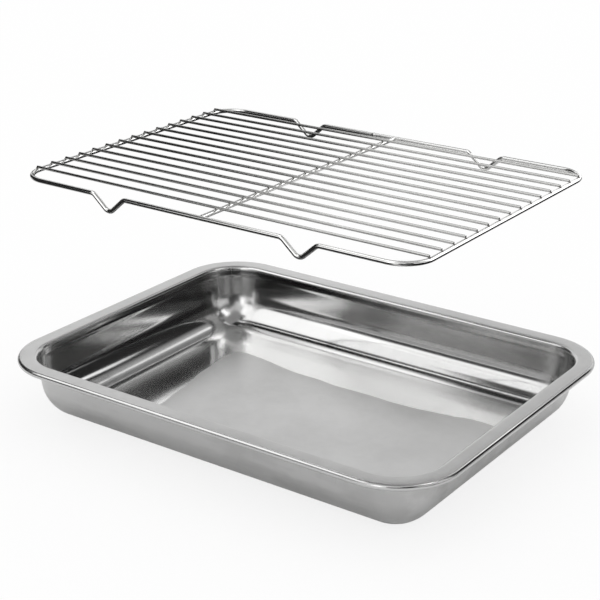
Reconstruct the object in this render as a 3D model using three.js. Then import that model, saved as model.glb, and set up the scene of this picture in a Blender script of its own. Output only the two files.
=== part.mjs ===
// Deep stainless sheet pan with a rolled rim, and the welded wire rack that stands in it on four bent feet.
// Millimetres, +Z up. +X runs along the long side. The origin is the middle of the pan's underside.
// The rack is shown lifted straight up out of the pan, level with it.

import * as THREE from 'three';

// Pan: outside sizes of the rim, sheet and bends
const PAN_LENGTH = 360;
const PAN_WIDTH = 274;
const PAN_HEIGHT = 48;
const SHEET = 0.8;
const RIM_OVERHANG = 13;
const RIM_BEND = 2.2;
const EDGE_ROLL = 4.6;
const EDGE_ROLL_TURN = 230;
const WALL_DRAFT = 8.5;
const FLOOR_FILLET = 28.2;
const FLOOR_CORNER = 1;

// Rack: wires, feet and how it fits the pan
const FRAME_WIRE = 3.2;
const GRID_WIRE = 2;
const GRID_WIRES = 15;
const GRID_MARGIN = 16.6;
const GRID_END_INSET = 0.4;
const FOOT_DEPTH = 10;
const FOOT_SLOPE = 41;
const FOOT_BEND = 5;
const FOOT_SPACING = 154;
const RACK_CLEARANCE = 2.5;
const RACK_CORNER_CLEARANCE = 0.6;
const RACK_LIFT = 155;

// Gap between pieces that touch or are welded together on the real object
const CONTACT_GAP = 0.3;

// Fineness of the facets
const SECTION_STEPS = 4;
const CORNER_STEPS = 5;
const BEND_STEPS = 6;
const FRAME_SIDES = 10;
const GRID_SIDES = 10;

const draft = THREE.MathUtils.degToRad(WALL_DRAFT);
const footSlope = THREE.MathUtils.degToRad(FOOT_SLOPE);

// Section of the pan's sheet. The first axis points outwards from the rim's outer edge, so it is negative
// everywhere inside, and the second is the height.
const outerFillet = FLOOR_FILLET + SHEET;
const filletHeight = outerFillet;
const wallFoot = filletHeight - outerFillet * Math.sin(draft);
const wallOutside = (height) => -RIM_OVERHANG - (PAN_HEIGHT - height) * Math.tan(draft);
const wallInside = (height) => wallOutside(height) - SHEET / Math.cos(draft);
const filletCentre = wallOutside(wallFoot) - outerFillet * Math.cos(draft);
const rimCorner = FLOOR_CORNER - filletCentre;

/** One face of the sheet, at a depth below its upper face, from the floor's edge out to the rolled edge. */
function sheetFace(depth) {
  const outerBend = RIM_BEND + SHEET;
  const bendHeight = PAN_HEIGHT - outerBend;
  const bendTop = bendHeight + RIM_BEND * Math.sin(draft);
  const bendCentre = wallOutside(bendTop) + RIM_BEND * Math.cos(draft);
  const rollRadius = EDGE_ROLL / 2;
  const rollEnd = Math.PI / 2 - THREE.MathUtils.degToRad(EDGE_ROLL_TURN);

  const face = new THREE.Path();
  face.absarc(filletCentre, filletHeight, FLOOR_FILLET + depth, -Math.PI / 2, -draft, false);
  face.absarc(bendCentre, bendHeight, outerBend - depth, Math.PI - draft, Math.PI / 2, true);
  face.absarc(-rollRadius, PAN_HEIGHT - rollRadius, rollRadius - depth, Math.PI / 2, rollEnd, true);
  return face.getPoints(SECTION_STEPS);
}

/** Points round the pan at one point of its section: an outline parallel to the rim's outer edge. */
function panOutline(section) {
  const halfLength = PAN_LENGTH / 2 + section.x;
  const halfWidth = PAN_WIDTH / 2 + section.x;
  const radius = rimCorner + section.x;
  const quarter = Math.PI / 2;
  const corners = [[1, 1], [-1, 1], [-1, -1], [1, -1]];
  const outline = new THREE.Path();
  corners.forEach(([sideX, sideY], index) => {
    const centreX = sideX * (halfLength - radius);
    const centreY = sideY * (halfWidth - radius);
    outline.absarc(centreX, centreY, radius, index * quarter, (index + 1) * quarter, false);
  });
  return outline.getPoints(CORNER_STEPS).map((point) => [point.x, point.y, section.y]);
}

/** Closed skin through rings of equal count, with a flat cap inside the first and the last ring. */
function skinRings(rings) {
  const count = rings[0].length;
  const last = (rings.length - 1) * count;
  const triangles = [];
  for (let ring = 0; ring < rings.length - 1; ring += 1) {
    for (let step = 0; step < count; step += 1) {
      const next = (step + 1) % count;
      const [a, b] = [ring * count + step, ring * count + next];
      triangles.push(a, a + count, b + count, a, b + count, b);
    }
  }
  for (let step = 1; step < count - 1; step += 1) {
    triangles.push(0, step, step + 1, last, last + step + 1, last + step);
  }
  const geometry = new THREE.BufferGeometry();
  geometry.setAttribute('position', new THREE.Float32BufferAttribute(rings.flat(2), 3));
  geometry.setIndex(triangles);
  geometry.computeVertexNormals();
  return geometry;
}

/** The drawn tray: its upper face from the floor out to the rolled edge, then back along its underside. */
function panGeometry() {
  const section = [...sheetFace(0), ...sheetFace(SHEET).reverse()];
  return skinRings(section.map(panOutline));
}

// Rack sizes. The frame keeps one clearance to the pan's walls, measured where they run into the floor fillet.
const frameRadius = FRAME_WIRE / 2;
const rackReach = wallInside(wallFoot) - RACK_CLEARANCE;
const frameHalfLength = PAN_LENGTH / 2 + rackReach - frameRadius;
const frameHalfWidth = PAN_WIDTH / 2 + rackReach - frameRadius;

// The frame's corners are tighter than the pan's, and come closer to it on the diagonal than the sides do.
const panCorner = rimCorner + wallInside(wallFoot);
const cornerDrop = (Math.SQRT2 * RACK_CLEARANCE - RACK_CORNER_CLEARANCE) / (Math.SQRT2 - 1);
const frameCorner = panCorner - cornerDrop - frameRadius;

// The feet stand on the floor fillet, or on the flat floor where the rack is narrow enough.
const footBesideFlat = Math.max(0, frameHalfWidth - (PAN_WIDTH / 2 + filletCentre));
const footTrack = FLOOR_FILLET - frameRadius - CONTACT_GAP;
const footHeight = filletHeight - Math.sqrt(footTrack ** 2 - footBesideFlat ** 2);
const seatHeight = footHeight + FOOT_DEPTH;

/** Centre line of a bent wire: a closed loop of corners, each with its bend radius. */
class BentLoop extends THREE.Curve {
  constructor(corners) {
    super();
    this.stations = corners.flatMap((corner, index) => {
      const before = corners[(index + corners.length - 1) % corners.length].point;
      const after = corners[(index + 1) % corners.length].point;
      return BentLoop.bend(before, corner, after);
    });
  }

  /** Points of one round bend, from the end of the straight before it to the start of the next. */
  static bend(before, corner, after) {
    const along = corner.point.clone().sub(before).normalize();
    const leaving = after.clone().sub(corner.point).normalize();
    const turn = along.angleTo(leaving);
    const inward = leaving.clone().addScaledVector(along, -leaving.dot(along)).normalize();
    const start = corner.point.clone().addScaledVector(along, -corner.radius * Math.tan(turn / 2));
    const centre = start.addScaledVector(inward, corner.radius);
    return Array.from({ length: BEND_STEPS + 1 }, (_, step) => {
      const angle = (turn * step) / BEND_STEPS;
      const point = centre.clone().addScaledVector(inward, -corner.radius * Math.cos(angle));
      return point.addScaledVector(along, corner.radius * Math.sin(angle));
    });
  }

  getPoint(t, target = new THREE.Vector3()) {
    const place = t * this.stations.length;
    const index = Math.floor(place);
    const from = this.stations[index % this.stations.length];
    const to = this.stations[(index + 1) % this.stations.length];
    return target.lerpVectors(from, to, place - index);
  }

  /** Steps follow the stations, so that the bends are fine and the straights are single lengths. */
  getUtoTmapping(u) {
    return u;
  }
}

/** The three corners of one V-shaped foot on a long side, in the order that the wire runs. */
function footCorners(centreX, sideY, direction) {
  const tipDepth = FOOT_DEPTH + FOOT_BEND * (1 / Math.cos(footSlope) - 1);
  const spread = tipDepth / Math.tan(footSlope);
  return [[-spread, 0], [0, -tipDepth], [spread, 0]].map(([offset, height]) => ({
    point: new THREE.Vector3(centreX + direction * offset, sideY, height),
    radius: FOOT_BEND,
  }));
}

/** Frame wire: a rounded rectangle with two feet bent down in each long side. */
function frameGeometry() {
  const corners = [-1, 1].flatMap((side) => {
    const direction = -side;
    const sideY = side * frameHalfWidth;
    const turnAt = (endX) => ({
      point: new THREE.Vector3(endX * frameHalfLength, sideY, 0),
      radius: frameCorner,
    });
    const feet = [-direction, direction].flatMap((end) =>
      footCorners((end * FOOT_SPACING) / 2, sideY, direction));
    return [turnAt(-direction), ...feet, turnAt(direction)];
  });
  const path = new BentLoop(corners);
  return new THREE.TubeGeometry(path, path.stations.length, frameRadius, FRAME_SIDES, true);
}

/** Straight round wire along X or Y, centred on its own middle. */
function straightWire(diameter, length, alongX) {
  const geometry = new THREE.CylinderGeometry(diameter / 2, diameter / 2, length, GRID_SIDES);
  if (alongX) {
    geometry.rotateZ(Math.PI / 2);
  }
  return geometry;
}

const sheetSteel = () => new THREE.MeshStandardMaterial({ color: 0xc4c4c2, roughness: 0.3, metalness: 1 });
const wireSteel = () => new THREE.MeshStandardMaterial({ color: 0xcfcfcf, roughness: 0.12, metalness: 1 });

function namedMesh(name, geometry, material) {
  const mesh = new THREE.Mesh(geometry, material);
  mesh.name = name;
  return mesh;
}

/** The rack on its own frame's middle plane. */
function makeRack() {
  const rack = new THREE.Group();
  rack.add(namedMesh('rack_frame_wire', frameGeometry(), wireSteel()));

  const barLength = 2 * (frameHalfWidth - frameRadius - CONTACT_GAP);
  rack.add(namedMesh('rack_cross_bar', straightWire(FRAME_WIRE, barLength, false), wireSteel()));

  const gridHeight = frameRadius + CONTACT_GAP + GRID_WIRE / 2;
  const gridLength = 2 * (frameHalfLength + frameRadius - GRID_END_INSET);
  const gridHalfWidth = frameHalfWidth - GRID_MARGIN;
  for (let index = 0; index < GRID_WIRES; index += 1) {
    const name = `rack_wire_${String(index + 1).padStart(2, '0')}`;
    const wire = namedMesh(name, straightWire(GRID_WIRE, gridLength, true), wireSteel());
    wire.position.set(0, THREE.MathUtils.lerp(-gridHalfWidth, gridHalfWidth, index / (GRID_WIRES - 1)), gridHeight);
    rack.add(wire);
  }
  return rack;
}

const panWithRack = new THREE.Group();
panWithRack.add(namedMesh('tray_pan', panGeometry(), sheetSteel()));

const rack = makeRack();
rack.position.z = seatHeight + RACK_LIFT;
panWithRack.add(rack);

export default panWithRack;
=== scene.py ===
"""Stainless sheet pan and its lifted wire rack: the visible pieces, their finishes and the studio."""

import logging
import math
from collections.abc import Iterable, Sequence
from dataclasses import dataclass, field
from enum import Enum

import bmesh
import bpy
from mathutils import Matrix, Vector


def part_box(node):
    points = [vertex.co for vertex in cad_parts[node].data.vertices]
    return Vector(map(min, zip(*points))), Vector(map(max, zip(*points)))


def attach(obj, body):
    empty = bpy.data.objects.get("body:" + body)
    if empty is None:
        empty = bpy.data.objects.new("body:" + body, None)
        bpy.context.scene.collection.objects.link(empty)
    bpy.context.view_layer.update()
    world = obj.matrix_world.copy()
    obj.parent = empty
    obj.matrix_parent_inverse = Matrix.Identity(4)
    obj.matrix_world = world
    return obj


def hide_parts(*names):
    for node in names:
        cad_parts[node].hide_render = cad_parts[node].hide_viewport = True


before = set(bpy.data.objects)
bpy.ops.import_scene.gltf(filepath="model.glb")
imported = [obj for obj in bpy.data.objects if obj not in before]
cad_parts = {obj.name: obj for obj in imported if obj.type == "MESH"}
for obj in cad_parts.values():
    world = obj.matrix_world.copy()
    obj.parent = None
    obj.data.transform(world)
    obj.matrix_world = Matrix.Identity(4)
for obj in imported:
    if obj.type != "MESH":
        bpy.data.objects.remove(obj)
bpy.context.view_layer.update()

MM = 0.001
MERGE_DISTANCE = 1e-7
WHITE = (1.0, 1.0, 1.0, 1.0)
LOG = logging.getLogger("sheet_pan")
Colour = tuple[float, float, float]
Triple = tuple[float, float, float]
Span = tuple[float, float]
Socket = bpy.types.NodeSocket
Material = bpy.types.Material
Piece = bpy.types.Object


class Body(Enum):
    """The two bodies that the pieces ride on."""

    PAN = "pan"
    RACK = "rack"


class Slot(Enum):
    """Names of the two material slots."""

    PAN_SHEET = "pan_sheet"
    RACK_WIRE = "rack_wire"


class NodeTree:
    """A node tree that is filled node by node."""

    def __init__(self, tree: bpy.types.NodeTree) -> None:
        """Keep the tree to fill.

        Args:
            tree: An empty tree of any kind.
        """
        self.tree = tree

    def add(self, kind: str, inputs: dict | None = None, **settings: object) -> bpy.types.Node:
        """Add one node.

        Args:
            kind: Type name of the node.
            inputs: Values or output sockets, by the name or number of the input that they go to.
            settings: Properties of the node, set before its inputs.

        Returns:
            The new node.
        """
        node = self.tree.nodes.new(kind)
        for name, value in settings.items():
            setattr(node, name, value)
        for key, value in (inputs or {}).items():
            self.feed(self.socket(node, key), value)
        return node

    def feed(self, socket: Socket, value: object) -> None:
        """Link an output to an input, or set the input's own value.

        Args:
            socket: The input.
            value: Output socket, or plain value.
        """
        if isinstance(value, Socket):
            self.tree.links.new(value, socket)
        else:
            socket.default_value = value

    @staticmethod
    def socket(node: bpy.types.Node, key: str | int) -> Socket:
        """Find an input that is in use.

        Args:
            node: Node that has the input.
            key: Name or number of the input.

        Returns:
            The input's socket.
        """
        if isinstance(key, int):
            return node.inputs[key]
        return next(socket for socket in node.inputs if socket.name == key and socket.enabled)

    def math(self, operation: str, first: object, second: object = 0.0, third: object = 0.0) -> Socket:
        """One step of arithmetic.

        Args:
            operation: Name of the step, as the Math node has it.
            first: Value or output socket.
            second: Value or output socket.
            third: Value or output socket.

        Returns:
            The result's socket.
        """
        return self.add("ShaderNodeMath", {0: first, 1: second, 2: third}, operation=operation).outputs[0]

    def product(self, *factors: object) -> Socket:
        """Multiply values or output sockets.

        Args:
            factors: Two or more of them.

        Returns:
            The result's socket.
        """
        result = factors[0]
        for factor in factors[1:]:
            result = self.math("MULTIPLY", result, factor)
        return result

    def span(self, value: object, low: float, high: float) -> Socket:
        """Nought below a range and one above it, with a smooth step between.

        Args:
            value: Value or output socket.
            low: Start of the range.
            high: End of the range.

        Returns:
            The result's socket.
        """
        inputs = {"Value": value, "From Min": low, "From Max": high}
        return self.add("ShaderNodeMapRange", inputs, interpolation_type="SMOOTHSTEP").outputs["Result"]

    def fall(self, value: object, low: float, high: float) -> Socket:
        """One below a range and nought above it, with a smooth step between."""
        return self.math("SUBTRACT", 1.0, self.span(value, low, high))

    def vector_math(self, operation: str, first: object, second: object) -> Socket:
        """One step of arithmetic on two vectors."""
        return self.add("ShaderNodeVectorMath", {0: first, 1: second}, operation=operation).outputs[0]

    def axes(self, vector: Socket) -> bpy.types.bpy_prop_collection:
        """The X, Y and Z of a vector."""
        return self.add("ShaderNodeSeparateXYZ", {0: vector}).outputs

    def combine(self, **axes: object) -> Socket:
        """A vector from its X, Y and Z, of which those left out are nought."""
        return self.add("ShaderNodeCombineXYZ", axes).outputs[0]


class GroupTree(NodeTree):
    """A node group with named inputs and outputs."""

    def __init__(self, name: str, kind: str) -> None:
        """Make the empty group.

        Args:
            name: Name of the group.
            kind: Type name of its tree.
        """
        super().__init__(bpy.data.node_groups.new(name, kind))
        self.source = self.tree.nodes.new("NodeGroupInput")
        self.sink = self.tree.nodes.new("NodeGroupOutput")

    def takes(self, name: str, kind: str, value: object = None) -> Socket:
        """Add a named input.

        Args:
            name: Name of the input.
            kind: Type name of its socket.
            value: Default value, if it has one.

        Returns:
            The socket that carries the input inside the group.
        """
        item = self.tree.interface.new_socket(name, in_out="INPUT", socket_type=kind)
        if value is not None:
            item.default_value = value
        return self.source.outputs[item.identifier]

    def gives(self, name: str, kind: str, value: Socket) -> None:
        """Add a named output.

        Args:
            name: Name of the output.
            kind: Type name of its socket.
            value: Socket that feeds it.
        """
        item = self.tree.interface.new_socket(name, in_out="OUTPUT", socket_type=kind)
        self.tree.links.new(value, self.sink.inputs[item.identifier])


class ShapeTree(GroupTree):
    """Geometry node tree whose named inputs are the sizes of what it makes."""

    def __init__(self, name: str) -> None:
        """Make the tree with its geometry input.

        Args:
            name: Name of the tree.
        """
        super().__init__(name, "GeometryNodeTree")
        self.host = self.takes("Geometry", "NodeSocketGeometry")

    def number(self, name: str) -> Socket:
        """A named input for a length or a plain number."""
        return self.takes(name, "NodeSocketFloat")

    def count(self, name: str) -> Socket:
        """A named input for a whole number."""
        return self.takes(name, "NodeSocketInt")

    def vector(self, name: str) -> Socket:
        """A named input for a place or a set of three sizes."""
        return self.takes(name, "NodeSocketVector")

    def attribute(self, name: str) -> Socket:
        """The value of a number that the host mesh carries at its points."""
        value = self.add("GeometryNodeInputNamedAttribute", {"Name": name}, data_type="FLOAT")
        return value.outputs["Attribute"]

    def pull(self, mesh: Socket, edge: Socket) -> tuple[Socket, Socket]:
        """Pull a band of faces out of open edges, with no width yet.

        Args:
            mesh: Mesh that has the edges.
            edge: Which edges are pulled.

        Returns:
            The mesh with the band, and which of its edges are new.
        """
        inputs = {"Mesh": mesh, "Selection": edge, "Offset Scale": 0.0}
        band = self.add("GeometryNodeExtrudeMesh", inputs, mode="EDGES")
        return band.outputs["Mesh"], band.outputs["Top"]

    def close(self, geometry: Socket) -> None:
        """End the tree: smooth, realize, and set the material.

        Args:
            geometry: What the tree has made.
        """
        finish = self.takes("Material", "NodeSocketMaterial")
        smooth = self.add("GeometryNodeSetShadeSmooth", {"Geometry": geometry})
        real = self.add("GeometryNodeRealizeInstances", {"Geometry": smooth.outputs[0]})
        dressed = self.add("GeometryNodeSetMaterial", {"Geometry": real.outputs[0], "Material": finish})
        self.gives("Geometry", "NodeSocketGeometry", dressed.outputs[0])

    def make(self, name: str, host: bpy.types.Mesh, sizes: dict[str, object]) -> Piece:
        """Run the tree on a host mesh and keep the result as a plain mesh object.

        Args:
            name: Name of the piece.
            host: Mesh that the tree starts from.
            sizes: Value of each named input.

        Returns:
            The piece, at the origin, with no modifier left on it.
        """
        piece = bpy.data.objects.new(name, host)
        bpy.context.scene.collection.objects.link(piece)
        modifier = piece.modifiers.new("shape", "NODES")
        modifier.node_group = self.tree
        for item in self.tree.interface.items_tree:
            if item.in_out == "INPUT" and item.name in sizes:
                modifier[item.identifier] = sizes[item.name]
        graph = bpy.context.evaluated_depsgraph_get()
        mesh = bpy.data.meshes.new_from_object(piece.evaluated_get(graph), depsgraph=graph)
        piece.modifiers.remove(modifier)
        piece.data = mesh
        mesh.name = name
        return piece


def polyline(
    name: str, points: Sequence[Sequence[float]], closed: bool, **values: Sequence[float]
) -> bpy.types.Mesh:
    """A mesh of points joined in a row.

    Args:
        name: Name of the mesh.
        points: Places in metres.
        closed: True if the last point joins the first.
        values: Numbers that the points carry, by name.

    Returns:
        The mesh, with edges only.
    """
    count = len(points)
    edges = [(index, (index + 1) % count) for index in range(count if closed else count - 1)]
    mesh = bpy.data.meshes.new(name)
    mesh.from_pydata([tuple(point) for point in points], edges, [])
    for key, numbers in values.items():
        mesh.attributes.new(key, "FLOAT", "POINT").data.foreach_set("value", list(numbers))
    return mesh


def turn_outwards(piece: Piece, sharp: float) -> None:
    """Merge doubles, turn every face outwards and crease the sharp edges.

    Args:
        piece: Object whose mesh is closed.
        sharp: Angle in degrees above which an edge is creased.
    """
    shape = bmesh.new()
    shape.from_mesh(piece.data)
    bmesh.ops.remove_doubles(shape, verts=shape.verts, dist=MERGE_DISTANCE)
    bmesh.ops.recalc_face_normals(shape, faces=shape.faces)
    shape.to_mesh(piece.data)
    shape.free()
    piece.data.shade_smooth()
    piece.data.set_sharp_from_angle(angle=math.radians(sharp))


def place(piece: Piece, body: Body, nodes: Iterable[str]) -> Piece:
    """Tie a finished piece to the frame and report it.

    Args:
        piece: The finished piece.
        body: Body that it rides on.
        nodes: Nodes of the frame that it stands for.

    Returns:
        The same piece.
    """
    names = list(nodes)
    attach(piece, body.value)
    if names:
        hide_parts(*names)
    faces = len(piece.data.polygons)
    LOG.info("%s: %d faces on %s, for %d nodes", piece.name, faces, body.value, len(names))
    return piece


class SteelMarks:
    """Shader node groups for the marks that the steels share."""

    SCRATCH_TURNS = (0.5, -0.9)
    SCRATCH_EDGE = 0.06
    CLOUD_RANGE: Span = (0.32, 0.72)

    def __init__(self) -> None:
        """Build the groups once."""
        self.grain = self._grain()
        self.scratches = self._scratches()
        self.handling = self._handling()

    @staticmethod
    def _open(name: str) -> tuple[GroupTree, Socket]:
        """Start a group that reads a place on the surface."""
        group = GroupTree(name, "ShaderNodeTree")
        return group, group.takes("Vector", "NodeSocketVector")

    def _grain(self) -> bpy.types.NodeTree:
        """Fine lines of rolling or drawing, along the first axis of the vector.

        Returns:
            The group.
        """
        group, place_in = self._open("drawn_grain")
        along = group.takes("Along", "NodeSocketFloat", 40.0)
        across = group.takes("Across", "NodeSocketFloat", 2600.0)
        scaled = group.vector_math("MULTIPLY", place_in, group.combine(X=along, Y=across, Z=across))
        noise = {"Vector": scaled, "Scale": 1.0, "Detail": 3.0, "Roughness": 0.6}
        lines = group.add("ShaderNodeTexNoise", noise)
        group.gives("Height", "NodeSocketFloat", lines.outputs["Fac"])
        return group.tree

    def _scratches(self) -> bpy.types.NodeTree:
        """Sparse hairline scratches in two directions.

        Returns:
            The group.
        """
        group, place_in = self._open("hairline_scratches")
        length = group.takes("Length", "NodeSocketFloat", 45.0)
        width = group.takes("Width", "NodeSocketFloat", 1900.0)
        spread = group.takes("Spread", "NodeSocketFloat", 0.7)
        masks = []
        for turn in self.SCRATCH_TURNS:
            around = {"Vector": place_in, "Angle": turn}
            turned = group.add("ShaderNodeVectorRotate", around, rotation_type="Z_AXIS").outputs[0]
            scaled = group.vector_math("MULTIPLY", turned, group.combine(X=length, Y=width, Z=length))
            lines = group.add("ShaderNodeTexNoise", {"Vector": scaled, "Scale": 1.0, "Detail": 1.0})
            masks.append(group.math("SUBTRACT", lines.outputs["Fac"], spread))
        both = group.math("MAXIMUM", *masks)
        group.gives("Mask", "NodeSocketFloat", group.span(both, 0.0, self.SCRATCH_EDGE))
        return group.tree

    def _handling(self) -> bpy.types.NodeTree:
        """Cloudy marks of wiping and handling.

        Returns:
            The group.
        """
        group, place_in = self._open("handling_marks")
        size = group.takes("Scale", "NodeSocketFloat", 14.0)
        noise = {"Vector": place_in, "Scale": size, "Detail": 4.0, "Roughness": 0.62, "Distortion": 0.4}
        clouds = group.add("ShaderNodeTexNoise", noise).outputs["Fac"]
        group.gives("Mask", "NodeSocketFloat", group.span(clouds, *self.CLOUD_RANGE))
        return group.tree


@dataclass(frozen=True)
class Steel:
    """A steel: its colour, darker shade and a lighter colour for painted sheen and light, and how rough it is
    satin and polished.
    """

    name: str
    colour: Colour
    shade: Colour
    satin: float
    polished: float
    # Lighter colour for painted sheen on the pan floor's buffed border and painted light on the ends of its
    # satin middle.
    buffed: Colour = (0.88, 0.88, 0.875)


@dataclass(frozen=True)
class PanMarks:
    """Marks, painted light and painted dark reflection on the pan's sheet: where each begins and is full, in
    metres, and how strong it is.
    """

    corner_x: Span = (0.122, 0.142)
    corner_y: Span = (0.080, 0.100)
    corner_z: Span = (0.002, 0.012)
    fillet_foot: Span = (0.0014, 0.0030)
    worn_x: Span = (-0.112, -0.085)
    outer_low: Span = (0.004, 0.012)
    outer_high: Span = (0.038, 0.043)
    # Where the painted light on the ends of the satin floor begins and is full, along X.
    painted_light_end_x: Span = (0.045, 0.125)
    # Painted dark reflection on the polished back wall just under the rim: where it lies along Y, where it
    # fades out along X, and its low and high edges.
    painted_reflection_y: Span = (0.100, 0.112)
    painted_reflection_end: Span = (0.02, 0.09)
    painted_reflection_low: Span = (0.0395, 0.0425)
    painted_reflection_high: Span = (0.0440, 0.0448)
    worn_rough: float = 0.09
    corner_rough: float = 0.10
    cloud_rough: float = 0.035
    hair_rough: float = 0.06
    cloud_tint: float = 0.45
    hair_tint: float = 0.4
    patch_tint: float = 0.35
    grain_tint: float = 0.9
    grain_middle: float = 0.5
    blotch_tint: float = 1.5
    blotch_middle: float = 0.6
    blotch_range: Span = (0.36, 0.66)
    # Strength of the painted light on the ends of the satin floor.
    painted_end_light: float = 0.27
    # Cover and colour of the painted dark reflection under the back rim.
    painted_reflection_cover: float = 0.8
    painted_dark_reflection: Colour = (0.06, 0.06, 0.06)
    satin_grain: float = 0.8
    polished_grain: float = 0.03
    corner_streaks: float = 0.9
    wall_streaks: float = 0.1


class FinishBook:
    """Makes the materials of the pan and the rack."""

    def __init__(self) -> None:
        """Build what the materials share."""
        self.marks = SteelMarks()

    @staticmethod
    def start(name: str) -> tuple[NodeTree, bpy.types.Node, Material]:
        """Start a metal.

        Args:
            name: Name of the material.

        Returns:
            Its tree, its shader and the material.
        """
        material = bpy.data.materials.new(name)
        material.use_nodes = True
        shader = material.node_tree.nodes["Principled BSDF"]
        shader.inputs["Metallic"].default_value = 1.0
        return NodeTree(material.node_tree), shader, material

    @staticmethod
    def group(tree: NodeTree, group: bpy.types.NodeTree, **inputs: object) -> Socket:
        """Place a shared group in a material.

        Args:
            tree: The material's tree.
            group: The group.
            inputs: Values of its inputs.

        Returns:
            The group's one output.
        """
        return tree.add("ShaderNodeGroup", inputs, node_tree=group).outputs[0]

    @staticmethod
    def bump(tree: NodeTree, **inputs: object) -> Socket:
        """The normal of a surface that is raised by a height."""
        return tree.add("ShaderNodeBump", inputs).outputs["Normal"]

    @staticmethod
    def blend(tree: NodeTree, factor: object, first: object, second: object) -> Socket:
        """Mix two colours.

        Args:
            tree: The material's tree.
            factor: Share of the second colour.
            first: Colour or output socket.
            second: Colour or output socket.

        Returns:
            The mixed colour's socket.
        """
        mix = tree.add("ShaderNodeMix", {"Factor": factor}, data_type="RGBA")
        for index, value in ((6, first), (7, second)):
            tree.feed(mix.inputs[index], value if isinstance(value, Socket) else (*value, 1.0))
        return mix.outputs[2]

    def pan(self, steel: Steel, floor: "BuffedFloor", marks: PanMarks) -> Material:
        """Sheet steel: satin floor, rim and outside, with polished walls and floor edge inside.

        Args:
            steel: Colours and roughness.
            floor: Outline of the satin middle of the floor.
            marks: Places and strengths of the marks on the sheet.

        Returns:
            The material.
        """
        tree, shader, material = self.start(steel.name)
        where = tree.add("ShaderNodeTexCoord").outputs["Object"]
        axes = tree.axes(where)
        along, across = (tree.math("ABSOLUTE", axes[axis]) for axis in "XY")
        inside = tree.add("ShaderNodeAttribute", attribute_name="polish").outputs["Fac"]
        satin = floor.mask(tree, where)
        polish = tree.product(inside, tree.math("SUBTRACT", 1.0, satin))
        dull = tree.math("SUBTRACT", 1.0, polish)
        clouds = self.group(tree, self.marks.handling, Vector=where, Scale=16.0)
        patches = self.group(tree, self.marks.handling, Vector=where, Scale=70.0)
        hairs = self.group(tree, self.marks.scratches, Vector=where, Length=38.0, Width=1500.0, Spread=0.72)
        grain = self.group(tree, self.marks.grain, Vector=where, Along=130.0, Across=2600.0)
        blotches = self.group(tree, self.marks.grain, Vector=where, Along=11.0, Across=48.0)
        upright = tree.combine(X=axes["Z"], Y=axes["X"], Z=axes["Y"])
        drawn = self.group(tree, self.marks.grain, Vector=upright, Along=9.0, Across=170.0)

        corner = tree.product(
            tree.span(along, *marks.corner_x),
            tree.span(across, *marks.corner_y),
            tree.span(axes["Z"], *marks.corner_z),
        )
        sheen = tree.product(polish, tree.fall(axes["Z"], *marks.fillet_foot))
        worn = tree.product(sheen, tree.span(axes["X"], *marks.worn_x))
        rough = tree.math("MULTIPLY_ADD", polish, steel.polished - steel.satin, steel.satin)
        for mask, amount in (
            (worn, marks.worn_rough),
            (tree.product(corner, polish), marks.corner_rough),
            (clouds, marks.cloud_rough),
            (hairs, marks.hair_rough),
        ):
            rough = tree.math("MULTIPLY_ADD", mask, amount, rough)
        tree.feed(shader.inputs["Roughness"], rough)

        outer = tree.product(
            dull, tree.span(axes["Z"], *marks.outer_low), tree.fall(axes["Z"], *marks.outer_high)
        )
        stain = tree.math("SUBTRACT", tree.span(blotches, *marks.blotch_range), marks.blotch_middle)
        lines = tree.math("SUBTRACT", grain, marks.grain_middle)
        tint = tree.math("MULTIPLY", hairs, marks.hair_tint)
        for mask, amount in (
            (clouds, marks.cloud_tint),
            (tree.product(patches, dull), marks.patch_tint),
            (tree.product(lines, dull), marks.grain_tint),
            (tree.product(outer, stain), marks.blotch_tint),
        ):
            tint = tree.math("MULTIPLY_ADD", mask, amount, tint)
        colour = self.blend(tree, tint, steel.colour, steel.shade)
        # Painted light on the ends of the satin floor, and painted sheen on its buffed border: both blend to
        # the lighter painted colour.
        ends = tree.product(satin, tree.span(along, *marks.painted_light_end_x))
        painted_light_and_sheen = tree.math("MULTIPLY_ADD", ends, marks.painted_end_light, sheen)
        colour = self.blend(tree, painted_light_and_sheen, colour, steel.buffed)
        # Painted dark reflection: a near-black band on the polished back wall just under the rim, fading out
        # towards the right end.
        painted_dark_reflection = tree.product(
            polish,
            tree.span(axes["Y"], *marks.painted_reflection_y),
            tree.fall(axes["X"], *marks.painted_reflection_end),
            tree.span(axes["Z"], *marks.painted_reflection_low),
            tree.fall(axes["Z"], *marks.painted_reflection_high),
            marks.painted_reflection_cover,
        )
        tree.feed(shader.inputs["Base Color"], self.blend(tree, painted_dark_reflection, colour, marks.painted_dark_reflection))

        lift = tree.product(grain, tree.math("MULTIPLY_ADD", dull, marks.satin_grain, marks.polished_grain))
        pull = tree.math("MULTIPLY_ADD", corner, marks.corner_streaks, marks.wall_streaks)
        streaks = self.bump(tree, Strength=0.5, Distance=0.0004, Height=tree.product(drawn, pull))
        raised = self.bump(tree, Strength=0.12, Distance=0.00006, Height=lift, Normal=streaks)
        tree.feed(shader.inputs["Normal"], raised)
        return material

    def wire(self, steel: Steel, along: float, across: float) -> Material:
        """Polished drawn wire.

        Args:
            steel: Colours and roughness.
            along: Scale of the drawing lines along the wire.
            across: Scale of the drawing lines across it.

        Returns:
            The material.
        """
        tree, shader, material = self.start(steel.name)
        where = tree.add("ShaderNodeTexCoord").outputs["Object"]
        clouds = self.group(tree, self.marks.handling, Vector=where, Scale=30.0)
        grain = self.group(tree, self.marks.grain, Vector=where, Along=along, Across=across)
        rough = tree.math("MULTIPLY_ADD", clouds, steel.satin - steel.polished, steel.polished)
        tree.feed(shader.inputs["Roughness"], rough)
        tree.feed(shader.inputs["Base Color"], self.blend(tree, clouds, steel.colour, steel.shade))
        raised = self.bump(tree, Strength=0.1, Distance=0.00005, Height=grain)
        tree.feed(shader.inputs["Normal"], raised)
        return material


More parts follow.
